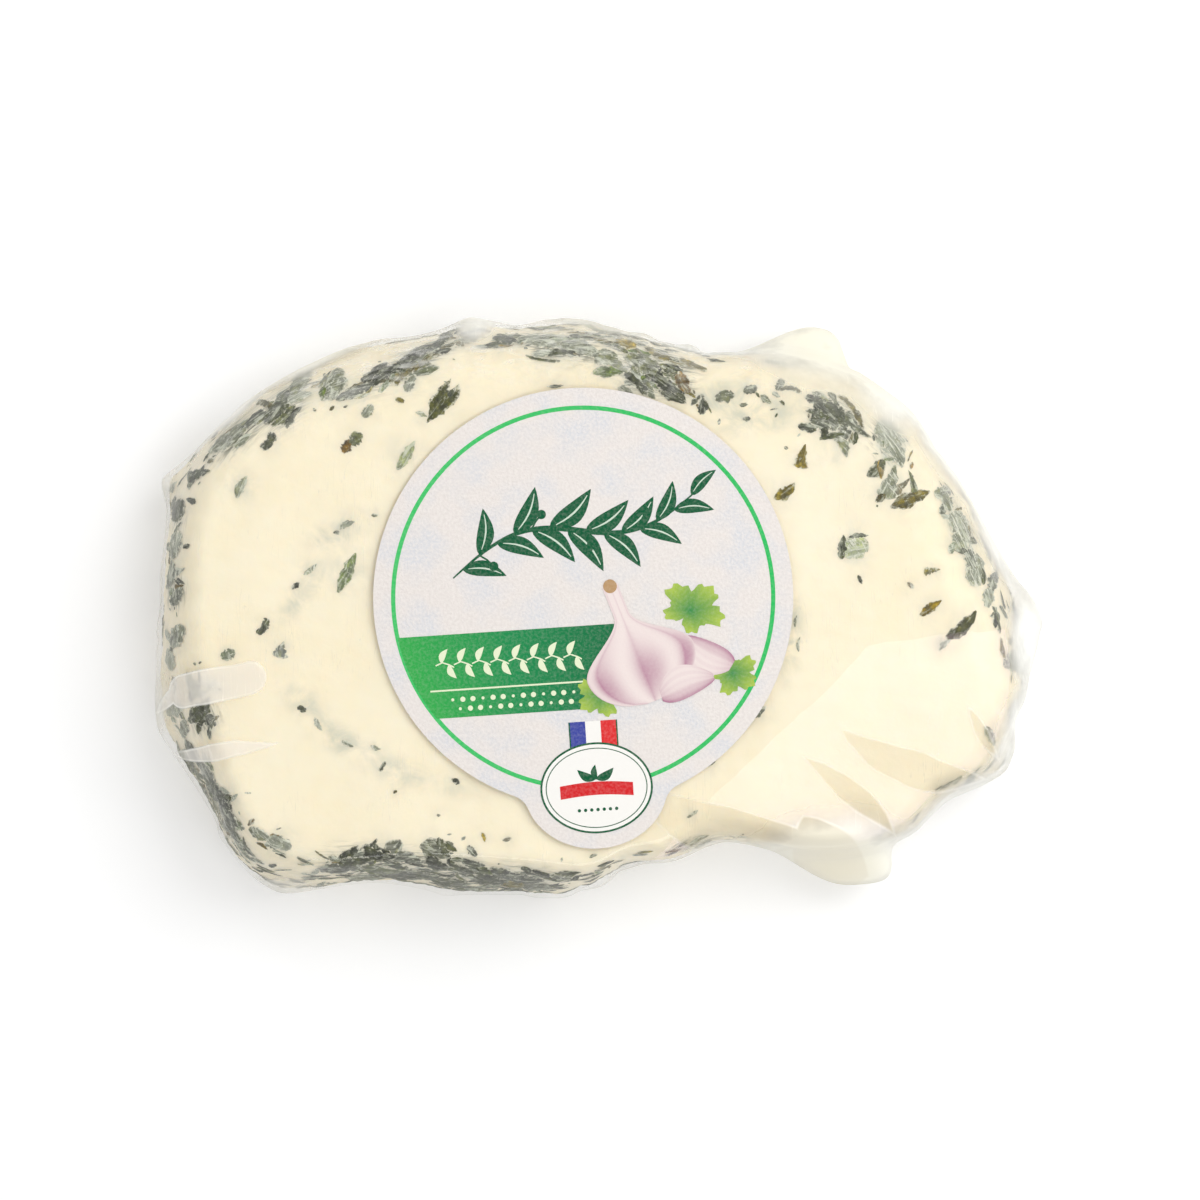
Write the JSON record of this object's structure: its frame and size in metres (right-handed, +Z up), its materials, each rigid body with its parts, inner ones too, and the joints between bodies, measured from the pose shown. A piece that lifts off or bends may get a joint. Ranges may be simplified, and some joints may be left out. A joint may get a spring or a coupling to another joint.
{
  "type": "cream cheese log slice",
  "caption": "Thick squared-oval slice of soft cheese with a herb rim, lying flat in clear shrink film with small folded ears, under a round paper label with a tab.",
  "frame": {"origin": "middle of the bounding box's bottom face, on the flat cut side that the slice rests on", "axes": "+X along the longest extent, towards the slanting end; +Y towards the back, away from the label's tab; +Z up, out of the labelled face"},
  "size_m": [0.1157, 0.0757, 0.0212],
  "materials": {
    "wrapped_cheese": "soft cream-coloured cheese seen through clear glossy film",
    "film": "clear shrink film, glossy, with fine creases and scuffs",
    "herbs": "chopped dried herbs, from grey green to olive brown",
    "label_paper": "uncoated off-white paper with green print"
  },
  "bodies": {
    "root": {"wrapped_slice": "wrapped_cheese", "label": "label_paper"}
  },
  "joints": []
}
